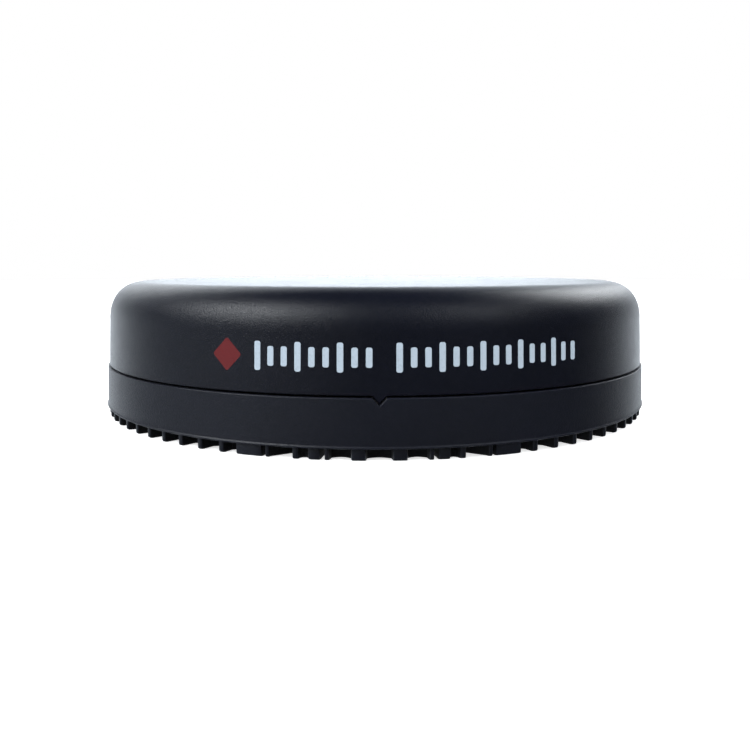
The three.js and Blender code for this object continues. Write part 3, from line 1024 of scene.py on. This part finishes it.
def make_world():
    """A dim room with a pale horizon at the far end and on the left, and a high window behind.

    The camera sees plain white in its place.
    """
    world = bpy.data.worlds.new("studio")
    bpy.context.scene.world = world
    world.use_nodes = True
    tree = world.node_tree
    tree.nodes.clear()

    def node(kind, **settings):
        made = tree.nodes.new(kind)
        for name, value in settings.items():
            setattr(made, name, value)
        return made

    def spread(value, low, high, to_low, to_high):
        made = node("ShaderNodeMapRange", interpolation_type="SMOOTHSTEP")
        for name, number in zip(
            ("From Min", "From Max", "To Min", "To Max"), (low, high, to_low, to_high)
        ):
            made.inputs[name].default_value = number
        tree.links.new(value, made.inputs["Value"])
        return made.outputs["Result"]

    def maths(operation, one, two):
        made = node("ShaderNodeMath", operation=operation)
        for socket, value in zip(made.inputs, (one, two)):
            if isinstance(value, (int, float)):
                socket.default_value = value
            else:
                tree.links.new(value, socket)
        return made.outputs["Value"]

    direction = node("ShaderNodeTexCoord").outputs["Generated"]
    split = node("ShaderNodeSeparateXYZ")
    tree.links.new(direction, split.inputs["Vector"])
    across, back, up = split.outputs["X"], split.outputs["Y"], split.outputs["Z"]
    far_end = spread(back, 0.25, 1.0, 0.0, 1.15)
    left = maths("MULTIPLY", spread(across, -0.9, -0.3, 0.42, 0.0), spread(back, 0.1, 0.8, 1.0, 0.0))
    low = spread(up, -0.1, 0.14, 1.0, 0.0)
    horizon = maths("MULTIPLY", maths("ADD", far_end, left), low)
    window = maths("MULTIPLY", spread(back, 0.45, 0.85, 0.0, WINDOW), spread(up, 0.42, 0.72, 1.0, 0.0))
    glow = maths("MULTIPLY", spread(back, 0.9, 0.99, 0.0, GLOW), spread(up, 0.2, 0.38, 1.0, 0.0))
    strength = maths("ADD", maths("ADD", horizon, DIM), maths("ADD", window, glow))
    room = node("ShaderNodeBackground")
    room.inputs["Color"].default_value = (0.84, 0.92, 1.0, 1)
    tree.links.new(strength, room.inputs["Strength"])
    seen = node("ShaderNodeBackground")
    seen.inputs["Color"].default_value = (1, 1, 1, 1)
    seen.inputs["Strength"].default_value = 1.0
    path = node("ShaderNodeLightPath")
    mix = node("ShaderNodeMixShader")
    tree.links.new(path.outputs["Is Camera Ray"], mix.inputs[0])
    tree.links.new(room.outputs[0], mix.inputs[1])
    tree.links.new(seen.outputs[0], mix.inputs[2])
    output = node("ShaderNodeOutputWorld")
    tree.links.new(mix.outputs[0], output.inputs["Surface"])


LIGHT_TARGET = Vector((0, 0, 0.01))
LIGHT_COLOUR = (0.94, 0.975, 1.0)


def make_light(name, place, size, power, shine=True):
    """A soft rectangular light that looks at the puck. Without shine it makes no highlights."""
    data = bpy.data.lights.new(name, "AREA")
    data.shape = "RECTANGLE"
    data.size, data.size_y = size
    data.energy = power
    data.color = LIGHT_COLOUR
    light = bpy.data.objects.new(name, data)
    light.location = place
    light.rotation_euler = (LIGHT_TARGET - Vector(place)).to_track_quat("-Z", "Y").to_euler()
    light.visible_camera = False
    light.visible_glossy = shine
    bpy.context.scene.collection.objects.link(light)


def make_lights():
    make_light("left_softbox", (-0.56, -0.33, 0.48), (0.46, 0.25), 4.2)
    make_light("right_softbox", (0.4, -0.4, 0.48), (0.2, 0.26), 0.75)
    make_light("right_back_softbox", (0.54, 0.49, 0.46), (0.38, 0.26), 2.5)
    make_light("left_back_softbox", (-0.38, 0.58, 0.38), (0.4, 0.3), 0.7)
    make_light("overhead", (0, 0, 1.5), (3.0, 3.0), 52, shine=False)


CAMERA_DISTANCE = 2.976 * PUCK_RADIUS
CAMERA_HEIGHT = CAP_TOP + 3 * MM
CAMERA_TURN = math.radians(-0.7)
CAMERA_PITCH = math.radians(5.2)


def make_camera():
    """Close to the puck and just above the level of its top."""
    data = bpy.data.cameras.new("camera")
    data.sensor_width = 36
    data.lens = 36.4
    data.clip_start = 0.005
    data.clip_end = 50
    data.shift_y = -0.0566
    camera = bpy.data.objects.new("camera", data)
    camera.location = (
        CAMERA_DISTANCE * math.sin(CAMERA_TURN),
        -CAMERA_DISTANCE * math.cos(CAMERA_TURN),
        CAMERA_HEIGHT,
    )
    camera.rotation_euler = (math.pi / 2 - CAMERA_PITCH, 0, CAMERA_TURN)
    bpy.context.scene.collection.objects.link(camera)
    bpy.context.scene.camera = camera


make_camera()
make_cap()
make_print()
make_shoe()
make_tray()
make_weight()
make_pads()
make_fasteners()
make_floor()
make_world()
make_lights()
bpy.context.scene.view_settings.view_transform = "Standard"
